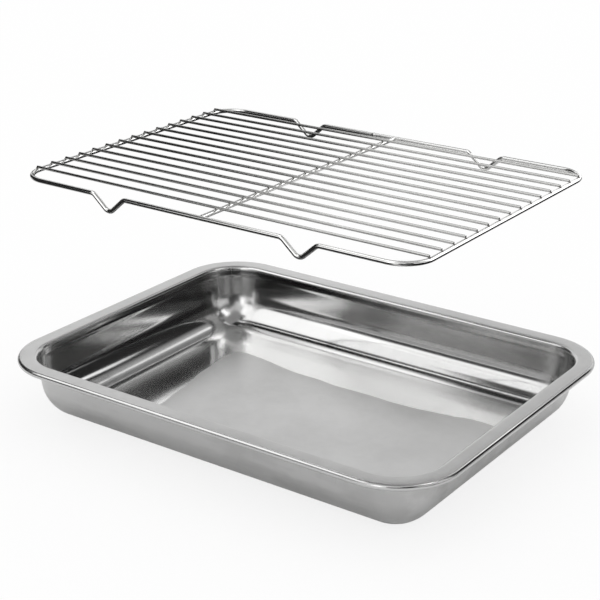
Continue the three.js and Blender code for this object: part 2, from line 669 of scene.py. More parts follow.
@dataclass(frozen=True)
class BuffedFloor:
    """Outline of the satin middle of the pan's floor, in metres: the buffing wheel polished the rest."""

    centre_x: float = 0.0250
    centre_y: float = -0.009
    half_length: float = 0.1275
    half_width: float = 0.062
    end_flare: float = 0.003
    side_flare: float = 0.014
    lean: float = -0.18
    corner: float = 0.040
    waver: float = 0.004
    edge: float = 0.0005
    top: float = 0.003

    def mask(self, tree: NodeTree, where: Socket) -> Socket:
        """One where the floor is satin, nought where it is polished.

        Args:
            tree: The material's tree.
            where: Place on the surface.

        Returns:
            The mask's socket.
        """
        axes = tree.axes(where)
        drift = tree.add("ShaderNodeTexNoise", {"Vector": where, "Scale": 22.0, "Detail": 1.0}).outputs["Fac"]
        away = []
        y = tree.math("SUBTRACT", axes["Y"], self.centre_y)
        x = tree.math("SUBTRACT", axes["X"], tree.math("MULTIPLY_ADD", y, self.lean, self.centre_x))
        for axis, other, half, reach, flare in (
            (x, y, self.half_length, self.half_width, self.end_flare),
            (y, x, self.half_width, self.half_length, self.side_flare),
        ):
            bow = tree.math("POWER", tree.math("DIVIDE", tree.math("ABSOLUTE", other), reach), 2.0)
            edge = tree.math("MULTIPLY_ADD", bow, flare, half)
            away.append(tree.math("SUBTRACT", edge, tree.math("ABSOLUTE", axis)))
        inner = tree.math("SMOOTH_MIN", away[0], away[1], self.corner)
        inner = tree.math("MULTIPLY_ADD", tree.math("SUBTRACT", drift, 0.5), self.waver * 2, inner)
        low = tree.math("LESS_THAN", axes["Z"], self.top)
        return tree.product(low, tree.span(inner, -self.edge, self.edge))


@dataclass
class PanShell:
    """The drawn tray: flat floor, floor fillet, drafted walls, flat rim and rolled edge.

    Lengths are in millimetres, and angles in degrees.
    """

    sheet: float = 0.8
    rim_overhang: float = 13.0
    rim_bend: float = 2.2
    edge_roll: float = 4.6
    edge_roll_turn: float = 230.0
    roll_polish: float = 0.85
    wall_draft: float = 8.5
    floor_fillet: float = 28.2
    floor_corner: float = 1.0
    border_lift: float = 0.49
    border_slope: float = 4.0
    border_share: float = 0.12
    border_steps: int = 6
    fillet_steps: int = 26
    wall_steps: int = 40
    bend_steps: int = 9
    rim_steps: int = 3
    roll_steps: int = 22
    outline_points: int = 336
    corner_points: int = 24
    ridge: float = 0.10
    ridge_drop: float = 4.5
    ridge_width: float = 1.3
    waviness: float = 0.14
    wave_length: float = 42.0
    wave_start: float = 3.0
    crease: float = 50.0
    length: float = field(init=False)
    width: float = field(init=False)
    height: float = field(init=False)

    def __post_init__(self) -> None:
        """Read the outside sizes from the frame."""
        low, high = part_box("tray_pan")
        self.length, self.width, self.height = (size / MM for size in high - low)

    @property
    def draft(self) -> float:
        """Slope of the walls in radians."""
        return math.radians(self.wall_draft)

    @property
    def fillet_centre(self) -> tuple[float, float]:
        """Centre of the floor fillet.

        Returns:
            Its distance from the rim's edge, negative inwards, and its height.
        """
        height = self.floor_fillet + self.sheet
        foot = height - height * math.sin(self.draft)
        return self.wall(foot) - height * math.cos(self.draft), height

    @property
    def rim_corner(self) -> float:
        """Radius of the rim's outer corners."""
        return self.floor_corner - self.fillet_centre[0]

    @property
    def raised_centre(self) -> tuple[float, float]:
        """Centre of the floor fillet where the floor's border rises to it, moved up along the wall."""
        rise = self.border_lift - self.floor_fillet * (1 - math.cos(math.radians(self.border_slope)))
        return self.fillet_centre[0] + rise * math.tan(self.draft), self.fillet_centre[1] + rise

    def wall(self, height: float) -> float:
        """Outside of the wall at a height, from the rim's edge, negative inwards."""
        return -self.rim_overhang - (self.height - height) * math.tan(self.draft)

    def face(self, depth: float) -> list[tuple[float, float, float, float]]:
        """One face of the sheet, from the floor's edge out to the end of the rolled edge.

        Args:
            depth: Depth below the upper face of the sheet.

        Returns:
            For each point its distance from the rim's edge, its height, and how far it is buffed and wavy.
        """
        outer = self.rim_bend + self.sheet
        bend_height = self.height - outer
        bend_top = bend_height + self.rim_bend * math.sin(self.draft)
        bend_x = self.wall(bend_top) + self.rim_bend * math.cos(self.draft)
        roll = self.edge_roll / 2
        floor_end = self.border_slope - 90.0
        runs = (
            (self.raised_centre, self.floor_fillet + depth, floor_end, -self.wall_draft, self.fillet_steps),
            ((bend_x, bend_height), outer - depth, 180.0 - self.wall_draft, 90.0, self.bend_steps),
            ((-roll, self.height - roll), roll - depth, 90.0, 90.0 - self.edge_roll_turn, self.roll_steps),
        )
        arcs = []
        for (x, y), radius, start, end, steps in runs:
            turns = [math.radians(start + (end - start) * step / steps) for step in range(steps + 1)]
            arcs.append([(x + radius * math.cos(turn), y + radius * math.sin(turn)) for turn in turns])
        straight = self.between(arcs[0][-1], arcs[1][0], self.wall_steps)
        wall = [self.ridged(point, arcs[1][0][1]) for point in straight]
        rim = self.between(arcs[1][-1], arcs[2][0], self.rim_steps)
        points = [*arcs[0], *wall, *arcs[1], *rim, *arcs[2]]
        # The buffing ends two thirds of the way round the bend below the rim.
        buffed = len(arcs[0]) + len(wall) + self.bend_steps * 2 // 3
        result = []
        for index, (x, y) in enumerate(points):
            polish = 1.0 if depth == 0 and index < buffed else 0.0
            if depth == 0 and index >= len(points) - self.roll_steps:
                polish = self.roll_polish
            share = (y - self.wave_start) / (self.height - self.wave_start)
            wave = math.sin(math.pi * min(max(share, 0.0), 1.0))
            result.append((x, y, polish, wave if index < len(arcs[0]) + len(wall) else 0.0))
        return result

    def ridged(self, point: tuple[float, float], top: float) -> tuple[float, float]:
        """A point of the wall, pushed inwards where the shallow ridge runs below the rim.

        Args:
            point: Distance from the rim's edge and height.
            top: Height of the wall's upper end.

        Returns:
            The point on the ridge.
        """
        drop = (top - point[1] - self.ridge_drop) / self.ridge_width
        return point[0] - self.ridge * math.exp(-drop * drop), point[1]

    @staticmethod
    def between(start: Sequence[float], end: Sequence[float], steps: int) -> list[tuple[float, float]]:
        """Points that divide a straight, without its ends."""
        run, rise = end[0] - start[0], end[1] - start[1]
        return [(start[0] + run * step / steps, start[1] + rise * step / steps) for step in range(1, steps)]

    def tree(self) -> ShapeTree:
        """Tree that sweeps the section round the rim's outline and closes the floor.

        Returns:
            The tree.
        """
        tree = ShapeTree("pan_sweep")
        sides = {"Width": tree.number("Length"), "Height": tree.number("Width")}
        outline = tree.add("GeometryNodeCurvePrimitiveQuadrilateral", sides, mode="RECTANGLE")
        turns = {
            "Curve": outline.outputs[0],
            "Count": tree.count("Corner Points"),
            "Radius": tree.number("Corner"),
        }
        rounded = tree.add("GeometryNodeFilletCurve", turns, mode="POLY")
        spread = {"Curve": rounded.outputs[0], "Count": tree.count("Points")}
        even = tree.add("GeometryNodeResampleCurve", spread)
        upright = tree.add("GeometryNodeSetCurveNormal", {"Curve": even.outputs[0]}, mode="Z_UP")
        section = tree.add("GeometryNodeMeshToCurve", {"Mesh": tree.host})
        sweep = {"Curve": upright.outputs[0], "Profile Curve": section.outputs[0]}
        swept = tree.add("GeometryNodeCurveToMesh", sweep)

        pitch = tree.math("DIVIDE", 1.0, tree.number("Wave Length"))
        cloud = tree.add("ShaderNodeTexNoise", {"Scale": pitch, "Detail": 0.0}).outputs["Color"]
        level = tree.vector_math("SUBTRACT", cloud, (0.5, 0.5, 0.5))
        reach = tree.math("MULTIPLY", tree.number("Waviness"), tree.attribute("wave"))
        shift = tree.add("ShaderNodeVectorMath", {0: level, "Scale": reach}, operation="SCALE").outputs[0]
        wavy = tree.add("GeometryNodeSetPosition", {"Geometry": swept.outputs[0], "Offset": shift})

        faces = tree.add("GeometryNodeInputMeshEdgeNeighbors").outputs[0]
        single = {2: faces, 3: 1}
        edge = tree.add("FunctionNodeCompare", single, data_type="INT", operation="EQUAL").outputs[0]
        here = tree.add("GeometryNodeInputPosition").outputs[0]
        share, lift = tree.number("Border Share"), tree.number("Border Lift")
        mesh, before = wavy.outputs[0], 0.0
        for step in range(self.border_steps):
            after = (step + 1) / self.border_steps
            mesh, edge = tree.pull(mesh, edge)
            inner, outer = (tree.math("MULTIPLY_ADD", share, -part, 1.0) for part in (after, before))
            inset = tree.math("SUBTRACT", tree.math("DIVIDE", inner, outer), 1.0)
            drop = tree.math("MULTIPLY", lift, (1 - after) ** 2 - (1 - before) ** 2)
            shrink = {0: here, 1: tree.combine(X=inset, Y=inset), 2: tree.combine(Z=drop)}
            move = tree.add("ShaderNodeVectorMath", shrink, operation="MULTIPLY_ADD").outputs[0]
            moved = {"Geometry": mesh, "Selection": edge, "Offset": move}
            mesh = tree.add("GeometryNodeSetPosition", moved).outputs[0]
            before = after

        mesh, edge = tree.pull(mesh, edge)
        axis = tree.combine(Z=tree.axes(here)["Z"])
        middle = {"Geometry": mesh, "Selection": edge, "Position": axis}
        drawn_in = tree.add("GeometryNodeSetPosition", middle).outputs[0]
        merged = tree.add("GeometryNodeMergeByDistance", {"Geometry": drawn_in, "Distance": 1e-6})
        tree.close(merged.outputs[0])
        return tree

    def build(self, finish: Material) -> Piece:
        """Make the tray.

        Args:
            finish: Its steel.

        Returns:
            The piece.
        """
        section = [*self.face(0.0), *reversed(self.face(self.sheet))]
        points = [(x * MM, -y * MM, 0.0) for x, y, _, _ in section]
        polish = [item[2] for item in section]
        wave = [item[3] for item in section]
        host = polyline("pan_section", points, False, polish=polish, wave=wave)
        sizes = {
            "Length": self.length * MM,
            "Width": self.width * MM,
            "Corner": self.rim_corner * MM,
            "Corner Points": self.corner_points,
            "Points": self.outline_points,
            "Waviness": self.waviness * MM,
            "Wave Length": self.wave_length * MM,
            "Border Share": self.border_share,
            "Border Lift": self.border_lift * MM,
            "Material": finish,
        }
        piece = self.tree().make("pan_tray", host, sizes)
        turn_outwards(piece, self.crease)
        return place(piece, Body.PAN, ["tray_pan"])


@dataclass
class WireRack:
    """The rack: bent frame wire with four feet, cross bar, grid wires and their welds.

    Lengths are in millimetres, and angles in degrees unless they are named otherwise.
    """

    frame_wire: float = 3.2
    grid_wire: float = 2.0
    wires: int = 15
    weld_gap: float = 0.3
    end_inset: float = 0.4
    end_trim: float = 1.5
    frame_corner: float = 20.2
    foot_depth: float = 10.0
    foot_slope: float = 41.0
    foot_bend: float = 5.0
    foot_spacing: float = 154.0
    bend_step: float = 6.0
    butt_weld_x: float = -18.0
    butt_stations: tuple[float, ...] = (2.6, 1.3, 0.8, 0.4, 0.0, -0.4, -0.8, -1.3, -2.6)
    butt_swell: float = 0.09
    butt_reach: float = 0.7
    end_chamfer: float = 0.22
    end_share: float = 0.74
    sway: float = 0.05
    frame_sides: int = 20
    grid_sides: int = 14
    spot_weld: Triple = (0.85, 0.7, 0.42)
    bar_weld: Triple = (1.62, 0.7, 1.55)
    bead_least: Triple = (0.86, 0.86, 0.9)
    bead_most: Triple = (1.14, 1.14, 1.1)
    bead_spin_radians: float = 0.3
    crease: float = 40.0
    seed: int = 7
    height: float = field(init=False)
    half_length: float = field(init=False)
    half_width: float = field(init=False)
    grid_length: float = field(init=False)
    grid_start: Vector = field(init=False)
    grid_pitch: float = field(init=False)

    def __post_init__(self) -> None:
        """Read the places of the wires from the frame."""
        bar_low, bar_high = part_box("rack_cross_bar")
        self.height = (bar_low.z + bar_high.z) / 2 / MM
        self.half_width = bar_high.y / MM + self.weld_gap + self.frame_wire / 2
        first_low, first_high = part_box(self.wire_name(1))
        last_low, last_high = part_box(self.wire_name(self.wires))
        self.grid_length = (first_high.x - first_low.x) / MM
        self.half_length = self.grid_length / 2 + self.end_inset - self.frame_wire / 2
        self.grid_start = (first_low + first_high) / 2 / MM
        self.grid_pitch = ((last_low + last_high) / 2 / MM - self.grid_start).y / (self.wires - 1)

    @staticmethod
    def wire_name(number: int) -> str:
        """Name of a grid wire's node."""
        return f"rack_wire_{number:02d}"

    def tree(self) -> ShapeTree:
        """Tree that makes a round wire along the host's line, once or in a row of copies.

        Returns:
            The tree.
        """
        tree = ShapeTree("wire_along_line")
        line = tree.add("GeometryNodeMeshToCurve", {"Mesh": tree.host})
        ring = {"Resolution": tree.count("Sides"), "Radius": tree.number("Radius")}
        circle = tree.add("GeometryNodeCurvePrimitiveCircle", ring)
        sweep = {
            "Curve": line.outputs[0],
            "Profile Curve": circle.outputs[0],
            "Scale": tree.attribute("swell"),
            "Fill Caps": True,
        }
        wire = tree.add("GeometryNodeCurveToMesh", sweep)
        row = {
            "Count": tree.count("Count"),
            "Start Location": tree.vector("Start"),
            "Offset": tree.vector("Step"),
        }
        places = tree.add("GeometryNodeMeshLine", row, mode="OFFSET")
        sway = tree.vector("Sway")
        back = tree.add("ShaderNodeVectorMath", {0: sway, "Scale": -1.0}, operation="SCALE").outputs[0]
        angles = {0: back, 1: sway, "Seed": tree.count("Seed")}
        turn = tree.add("FunctionNodeRandomValue", angles, data_type="FLOAT_VECTOR").outputs[0]
        copies = {"Points": places.outputs[0], "Instance": wire.outputs[0], "Rotation": turn}
        tree.close(tree.add("GeometryNodeInstanceOnPoints", copies).outputs[0])
        return tree

    def weld_tree(self) -> ShapeTree:
        """Tree that sets weld beads on a grid of places.

        Returns:
            The tree.
        """
        tree = ShapeTree("weld_beads")
        grid = {
            "Size X": tree.number("Size X"),
            "Size Y": tree.number("Size Y"),
            "Vertices X": tree.count("Columns"),
            "Vertices Y": tree.count("Rows"),
        }
        places = tree.add("GeometryNodeMeshGrid", grid)
        raised = {"Geometry": places.outputs[0], "Translation": tree.vector("Centre")}
        lifted = tree.add("GeometryNodeTransform", raised)
        bead = tree.add("GeometryNodeMeshIcoSphere", {"Radius": 1.0, "Subdivisions": 2})
        seed = tree.count("Seed")
        wobble = {0: self.bead_least, 1: self.bead_most, "Seed": seed}
        ratio = tree.add("FunctionNodeRandomValue", wobble, data_type="FLOAT_VECTOR").outputs[0]
        reach = tree.vector_math("MULTIPLY", tree.vector("Radii"), ratio)
        spin = {0: (0.0, 0.0, -self.bead_spin_radians), 1: (0.0, 0.0, self.bead_spin_radians), "Seed": seed}
        turn = tree.add("FunctionNodeRandomValue", spin, data_type="FLOAT_VECTOR").outputs[0]
        copies = {"Points": lifted.outputs[0], "Instance": bead.outputs[0], "Rotation": turn, "Scale": reach}
        tree.close(tree.add("GeometryNodeInstanceOnPoints", copies).outputs[0])
        return tree

    def bend(self, before: Vector, corner: Vector, after: Vector, radius: float) -> list[Vector]:
        """Points of one round bend in a wire.

        Args:
            before: Corner before this one.
            corner: Where the two straights would meet.
            after: Corner after this one.
            radius: Radius of the wire's centre line.

        Returns:
            Points from the end of one straight to the start of the next.
        """
        along = (corner - before).normalized()
        leaving = (after - corner).normalized()
        turn = along.angle(leaving)
        inward = (leaving - along * leaving.dot(along)).normalized()
        centre = corner - along * (radius * math.tan(turn / 2)) + inward * radius
        steps = max(2, round(math.degrees(turn) / self.bend_step))
        return [
            centre - inward * (radius * math.cos(angle)) + along * (radius * math.sin(angle))
            for angle in (turn * step / steps for step in range(steps + 1))
        ]

    def frame_corners(self) -> list[tuple[Vector, float]]:
        """Corners of the frame wire's centre line, once round.

        Returns:
            Each corner with its bend radius.
        """
        slope = math.radians(self.foot_slope)
        tip = self.foot_depth + self.foot_bend * (1 / math.cos(slope) - 1)
        spread = tip / math.tan(slope)
        corners = []
        for side in (-1, 1):
            y = side * self.half_width
            run = -side
            corners.append((Vector((-run * self.half_length, y, 0.0)), self.frame_corner))
            for end in (-run, run):
                for offset, drop in ((-spread, 0.0), (0.0, -tip), (spread, 0.0)):
                    x = end * self.foot_spacing / 2 + run * offset
                    corners.append((Vector((x, y, drop)), self.foot_bend))
            corners.append((Vector((run * self.half_length, y, 0.0)), self.frame_corner))
        return corners

    def frame_line(self) -> tuple[list[Vector], list[float]]:
        """Centre line of the frame wire, with the swelling of its butt weld.

        Returns:
            The points, and the wire's thickness at each as a share of its own.
        """
        corners = self.frame_corners()
        points: list[Vector] = []
        swell: list[float] = []
        for index, (corner, radius) in enumerate(corners):
            before = corners[index - 1][0]
            after = corners[(index + 1) % len(corners)][0]
            if before.y > 0 and corner.y > 0 and corner.x < self.butt_weld_x < before.x:
                for offset in self.butt_stations:
                    points.append(Vector((self.butt_weld_x + offset, self.half_width, 0.0)))
                    swell.append(1.0 + self.butt_swell * math.exp(-((offset / self.butt_reach) ** 2)))
            bent = self.bend(before, corner, after, radius)
            points.extend(bent)
            swell.extend([1.0] * len(bent))
        return points, swell

    def straight(self, length: float, alongside: Vector) -> tuple[list[Vector], list[float]]:
        """Centre line of a straight wire with chamfered ends.

        Args:
            length: Length of the wire.
            alongside: Direction that it runs in.

        Returns:
            The points, and the wire's thickness at each as a share of its own.
        """
        half = length / 2
        stations = (-half, -half + self.end_chamfer, 0.0, half - self.end_chamfer, half)
        return [alongside * station for station in stations], [self.end_share, 1.0, 1.0, 1.0, self.end_share]

    @staticmethod
    def host(name: str, line: tuple[list[Vector], list[float]], closed: bool) -> bpy.types.Mesh:
        """Host mesh of a wire, from its centre line and its thickness along it."""
        points, swell = line
        return polyline(name, [point * MM for point in points], closed, swell=swell)

    def build(
        self, frame_steel: Material, shaded_grid_steel: Material, weld_steel_and_painted_shade: Material
    ) -> list[Piece]:
        """Make the frame wire, the cross bar, the grid wires and the welds.

        Args:
            frame_steel: Steel of the thick wires.
            shaded_grid_steel: Steel of the grid wires, a darker copy of the frame's steel as painted shade.
            weld_steel_and_painted_shade: Steel of the welds, dark partly as their own colour and partly as
                painted shade where the wires cross.

        Returns:
            The pieces.
        """
        tree = self.tree()
        none = (0.0, 0.0, 0.0)
        middle = (0.0, 0.0, self.height * MM)
        single = {"Count": 1, "Start": middle, "Step": none, "Sway": none, "Seed": self.seed}
        thick = {
            **single,
            "Sides": self.frame_sides,
            "Radius": self.frame_wire / 2 * MM,
            "Material": frame_steel,
        }

        line = self.host("frame_line", self.frame_line(), True)
        ring = self.finish(tree.make("rack_frame", line, thick), ["rack_frame_wire"])

        bar_length = 2 * (self.half_width - self.frame_wire / 2 - self.weld_gap)
        line = self.host("bar_line", self.straight(bar_length, Vector((0, 1, 0))), False)
        bar = self.finish(tree.make("rack_bar", line, thick), ["rack_cross_bar"])

        wire_length = self.grid_length - 2 * self.end_trim
        line = self.host("grid_line", self.straight(wire_length, Vector((1, 0, 0))), False)
        row = {
            **single,
            "Count": self.wires,
            "Start": tuple((self.grid_start - Vector((0.0, 0.0, self.weld_gap))) * MM),
            "Step": (0.0, self.grid_pitch * MM, 0.0),
            "Sway": (0.0, 0.0, math.radians(self.sway)),
            "Sides": self.grid_sides,
            "Radius": self.grid_wire / 2 * MM,
            "Material": shaded_grid_steel,
        }
        names = [self.wire_name(number + 1) for number in range(self.wires)]
        grid = self.finish(tree.make("rack_grid", line, row), names)
        return [ring, bar, grid, *self.build_welds(weld_steel_and_painted_shade)]

    def build_welds(self, weld_steel_and_painted_shade: Material) -> list[Piece]:
        """Make the spot welds of the grid and the butt welds of the cross bar.

        Args:
            weld_steel_and_painted_shade: Steel of the welds, dark partly as their own colour and partly as
                painted shade where the wires cross.

        Returns:
            The pieces.
        """
        tree = self.weld_tree()
        spot_height = self.height + self.frame_wire / 2 + self.weld_gap / 2
        spots = {
            "Size X": 2 * self.half_length * MM,
            "Size Y": self.grid_pitch * (self.wires - 1) * MM,
            "Columns": 3,
            "Rows": self.wires,
            "Centre": (0.0, 0.0, spot_height * MM),
            "Radii": tuple(radius * MM for radius in self.spot_weld),
            "Seed": self.seed,
            "Material": weld_steel_and_painted_shade,
        }
        host = bpy.data.meshes.new("spots")
        spot_welds = self.finish(tree.make("rack_spot_welds", host, spots), [])
        butts = {
            **spots,
            "Size X": 0.0,
            "Size Y": 2 * (self.half_width - self.frame_wire / 2 - self.weld_gap / 2) * MM,
            "Columns": 1,
            "Rows": 2,
            "Centre": (0.0, 0.0, self.height * MM),
            "Radii": tuple(radius * MM for radius in self.bar_weld),
        }
        host = bpy.data.meshes.new("butts")
        return [spot_welds, self.finish(tree.make("rack_bar_welds", host, butts), [])]

    def finish(self, piece: Piece, nodes: list[str]) -> Piece:
        """Clean a piece of the rack and tie it to the frame."""
        turn_outwards(piece, self.crease)
        return place(piece, Body.RACK, nodes)


@dataclass(frozen=True)
class Card:
    """A flat card of the studio that only reflections see.

    It has two opposite corners, a tone and the width of its soft edge. A card that is seen from above alone
    lies just under the lifted rack, and is clear to what is below it.
    """

    name: str
    low: Triple
    high: Triple
    tone: float = 0.02
    fade: float = 0.05
    from_above: bool = False


@dataclass(frozen=True)
class Lamp:
    """A soft lamp: its middle, sides, turn in degrees, brightness, the body that it lights and soft edge."""

    name: str
    middle: Triple
    sides: tuple[float, float]
    turn: Triple
    glow: float
    body: Body
    fade: float = 0.05


@dataclass
class Studio:
    """Floor, soft light, dark cards and camera.

    Lengths are in metres, the lens and its sensor in millimetres, and angles in degrees.
    """

    camera_azimuth: float = 35.39
    camera_elevation: float = 21.48
    camera_distance: float = 1.064
    camera_target: Triple = (-0.001, -0.005, 0.0915)
    lens: float = 90.0
    sensor: float = 36.0

    floor_size: float = 14.0
    floor_colour: Colour = (0.9, 0.9, 0.9)
    floor_glow: float = 0.82
    sky: float = 1.08
    lamps: tuple[Lamp, ...] = (
        Lamp("softbox_low", (-0.51, -0.548, 0.660), (0.94, 0.701), (36.0, 0.0, 0.0), 1.75, Body.PAN, 0.12),
        Lamp("softbox_high", (-0.660, -0.194, 0.918), (0.64, 0.416), (36.0, 0.0, 0.0), 1.75, Body.PAN, 0.12),
        Lamp("window", (0.25, -1.4, 0.70), (0.63, 1.10), (90.0, 0.0, 0.0), 1.5, Body.PAN, 0.25),
        Lamp("skylight", (1.25, 0.21, 1.76), (0.86, 0.62), (0.0, 38.0, 7.0), 2.0, Body.PAN, 0.06),
        Lamp("wall_left", (-0.97, 1.05, 0.32), (0.64, 1.24), (0.0, -90.0, 0.0), 0.95, Body.PAN, 0.15),
        Lamp("back_fill", (-0.75, 1.50, 1.12), (0.90, 0.70), (-56.0, 0.0, 27.0), 0.45, Body.PAN, 0.2),
        Lamp("back_ramp", (0.25, 1.3, 1.2), (1.0, 1.2), (0.0, 0.0, 0.0), 0.5, Body.PAN, 0.5),
        Lamp("over_gap", (-0.9, 0.075, 1.29), (1.2, 0.09), (0.0, 0.0, 0.0), 1.8, Body.PAN, 0.03),
        Lamp("ceiling_back", (-0.76, 0.70, 1.27), (0.42, 0.50), (0.0, 0.0, 0.0), 0.9, Body.PAN, 0.1),
        Lamp("glint", (0.155, 0.325, 0.32), (0.13, 0.08), (57.5, 0.0, 136.0), 1.7, Body.PAN, 0.03),
        Lamp("wall_end", (-0.965, 1.45, 0.80), (0.40, 0.44), (0.0, -90.0, 0.0), 0.32, Body.PAN, 0.15),
        Lamp("softbox_rack", (-0.40, -0.40, 1.25), (1.00, 1.40), (0.0, 0.0, 0.0), 1.4, Body.RACK, 0.3),
        Lamp("fill_rack", (0.85, 1.2, 0.85), (1.7, 1.8), (0.0, 90.0, 0.0), 2.2, Body.RACK),
        Lamp("back_rack", (0.2, 1.9, 0.9), (1.6, 1.6), (-90.0, 0.0, 0.0), 0.7, Body.RACK),
        Lamp("window_rack", (-0.35, -1.15, 0.65), (1.2, 0.9), (90.0, 0.0, 0.0), 1.3, Body.RACK, 0.3),
    )
    cards: tuple[Card, ...] = (
        Card("side", (-1.0, -1.28, 0.0), (-1.0, 0.25, 1.9), 0.02, 0.12),
        Card("side_back", (-1.005, -0.3, 0.0), (-1.005, 0.5, 1.9), 0.02, 0.3),
        Card("side_low", (-1.0, 0.43, 0.0), (-1.0, 1.67, 0.64), 0.02, 0.15),
        Card("front_low", (-1.5, -1.2, 0.0), (-0.35, -1.2, 0.45), 0.50, 0.1),
        Card("front_edge", (-0.94, -1.21, 0.44), (-0.30, -1.21, 0.57), 0.02, 0.03),
        Card("front_right", (1.3, -1.6, 0.0), (3.2, -1.6, 1.9), 0.02, 0.15),
        Card("front_mid", (0.48, -1.45, 0.0), (1.5, -1.45, 0.95), 0.06, 0.15),
        Card("right_low", (2.0, -1.8, 0.0), (2.0, 0.1, 0.45), 0.02, 0.1),
        Card("right_high", (1.6, -2.0, 1.0), (1.6, -0.05, 1.85), 0.02, 0.08),
        Card("right_high_end", (1.61, -0.2, 1.05), (1.61, 0.65, 1.57), 0.02, 0.06),
        Card("back_right_low", (0.9, 0.4, 0.12), (0.9, 2.45, 1.75), 0.03, 0.1),
        Card("back_right_high", (0.91, 0.6, 0.6), (0.91, 4.4, 5.0), 0.05, 1.2),
        Card("back_over_near", (-0.43, 0.85, 1.3), (0.06, 2.3, 1.3), 0.30),
        Card("back_over_far", (-1.1, 0.85, 1.3), (-0.41, 2.3, 1.3), 0.05, 0.1),
        Card("over_first", (-1.5, -0.10, 1.3), (-0.30, 0.03, 1.3), 0.02, 0.03),
        Card("over_second", (-1.5, 0.13, 1.3), (-0.30, 0.38, 1.3), 0.02, 0.03),
        Card("over_wedge_front", (-0.62, -0.45, 1.3), (-0.20, -0.05, 1.3), 0.02, 0.1),
        Card("over_wedge_back", (-0.62, 0.20, 1.3), (-0.20, 0.60, 1.3), 0.02, 0.07),
        Card("over_front", (-1.5, -1.25, 1.3), (-0.36, -0.06, 1.3), 0.03, 0.12),
        Card("front_high", (-1.0, -1.22, 0.5), (-0.2, -1.22, 1.35), 0.03, 0.1),
        Card("floor_left", (-2.2, -2.4, 0.002), (-0.1, -0.36, 0.002), 0.02, 0.1),
        Card("floor_back", (-1.8, 0.30, 0.002), (0.3, 2.0, 0.002), 0.10, 0.1),
        Card("floor_right", (0.33, -0.2, 0.002), (1.6, 2.0, 0.002), 0.05, 0.08),
        Card("floor_near", (-0.23, -0.187, 0.0004), (0.23, 0.187, 0.0004), 0.92, 0.03),
        Card("under_grid", (-0.75, -0.15, 0.16), (0.04, 0.30, 0.16), 0.02, 0.12, True),
        Card("under_front", (-0.75, -1.0, 0.1605), (0.16, -0.10, 0.1605), 0.02, 0.03, True),
        Card("under_right", (0.150, -0.25, 0.1605), (1.0, 1.2, 0.1605), 0.02, 0.008, True),
        Card("ceiling", (-1.3, -1.3, 2.4), (1.3, 1.3, 2.4), 0.42, 0.1),
    )

    def build(self, pieces: dict[Body, list[Piece]]) -> None:
        """Set up everything round the object.

        Args:
            pieces: The finished pieces of each body.
        """
        self.build_world()
        self.build_floor()
        for lamp in self.lamps:
            self.build_lamp(lamp, pieces[lamp.body])
        for card in self.cards:
            self.build_card(card)
        self.build_camera()
        bpy.context.scene.view_settings.view_transform = "Standard"

    def build_world(self) -> None:
        """White for the camera and for reflections, softer as a light."""
        world = bpy.data.worlds.new("studio")
        world.use_nodes = True
        bpy.context.scene.world = world
        world.cycles.sampling_method = "NONE"
        tree = NodeTree(world.node_tree)
        world.node_tree.nodes.clear()
        seen = self.seen(tree)
        light = tree.add("ShaderNodeBackground", {"Color": WHITE, "Strength": self.sky})
        white = tree.add("ShaderNodeBackground", {"Color": WHITE, "Strength": 1.0})
        mix = tree.add("ShaderNodeMixShader", {0: seen, 1: light.outputs[0], 2: white.outputs[0]})
        tree.add("ShaderNodeOutputWorld", {"Surface": mix.outputs[0]})

    def build_floor(self) -> None:
        """Plain pale floor that takes the object's shadow."""
        material, tree = self.empty_material("floor_paper")
        paper = tree.add("ShaderNodeBsdfDiffuse", {"Color": (*self.floor_colour, 1.0)})
        white = tree.add("ShaderNodeEmission", {"Color": WHITE, "Strength": 1.0})
        glow = tree.math("MULTIPLY", self.seen(tree), self.floor_glow)
        mix = tree.add("ShaderNodeMixShader", {0: glow, 1: paper.outputs[0], 2: white.outputs[0]})
        tree.add("ShaderNodeOutputMaterial", {"Surface": mix.outputs[0]})
        half = self.floor_size / 2
        corners = [(-half, -half, 0), (half, -half, 0), (half, half, 0), (-half, half, 0)]
        self.stage_sheet("floor", corners, material)

    @staticmethod
    def empty_material(name: str) -> tuple[Material, NodeTree]:
        """Start a material that has no nodes yet.

        Args:
            name: Name of the material.

        Returns:
            The material and its tree.
        """
        material = bpy.data.materials.new(name)
        material.use_nodes = True
        material.node_tree.nodes.clear()
        return material, NodeTree(material.node_tree)

    @staticmethod
    def stage_sheet(name: str, corners: Sequence[Triple], material: Material) -> Piece:
        """Set up a flat sheet that isn't part of the object.

        Args:
            name: Name of the sheet.
            corners: Its four corners in a row.
            material: Its material.

        Returns:
            The sheet.
        """
        mesh = bpy.data.meshes.new(name)
        mesh.from_pydata(corners, [], [(0, 1, 2, 3)])
        mesh.materials.append(material)
        sheet = bpy.data.objects.new(name, mesh)
        bpy.context.scene.collection.objects.link(sheet)
        return sheet

    @staticmethod
    def seen(tree: NodeTree) -> Socket:
        """Tell what the camera sees, straight or in metal or glass, from light on other things.

        Args:
            tree: Tree of the world or of a material.

        Returns:
            One for what the camera sees, and nought for light.
        """
        path = tree.add("ShaderNodeLightPath").outputs
        direct = tree.math("MAXIMUM", path["Is Camera Ray"], path["Is Glossy Ray"])
        return tree.math("MAXIMUM", direct, path["Is Transmission Ray"])

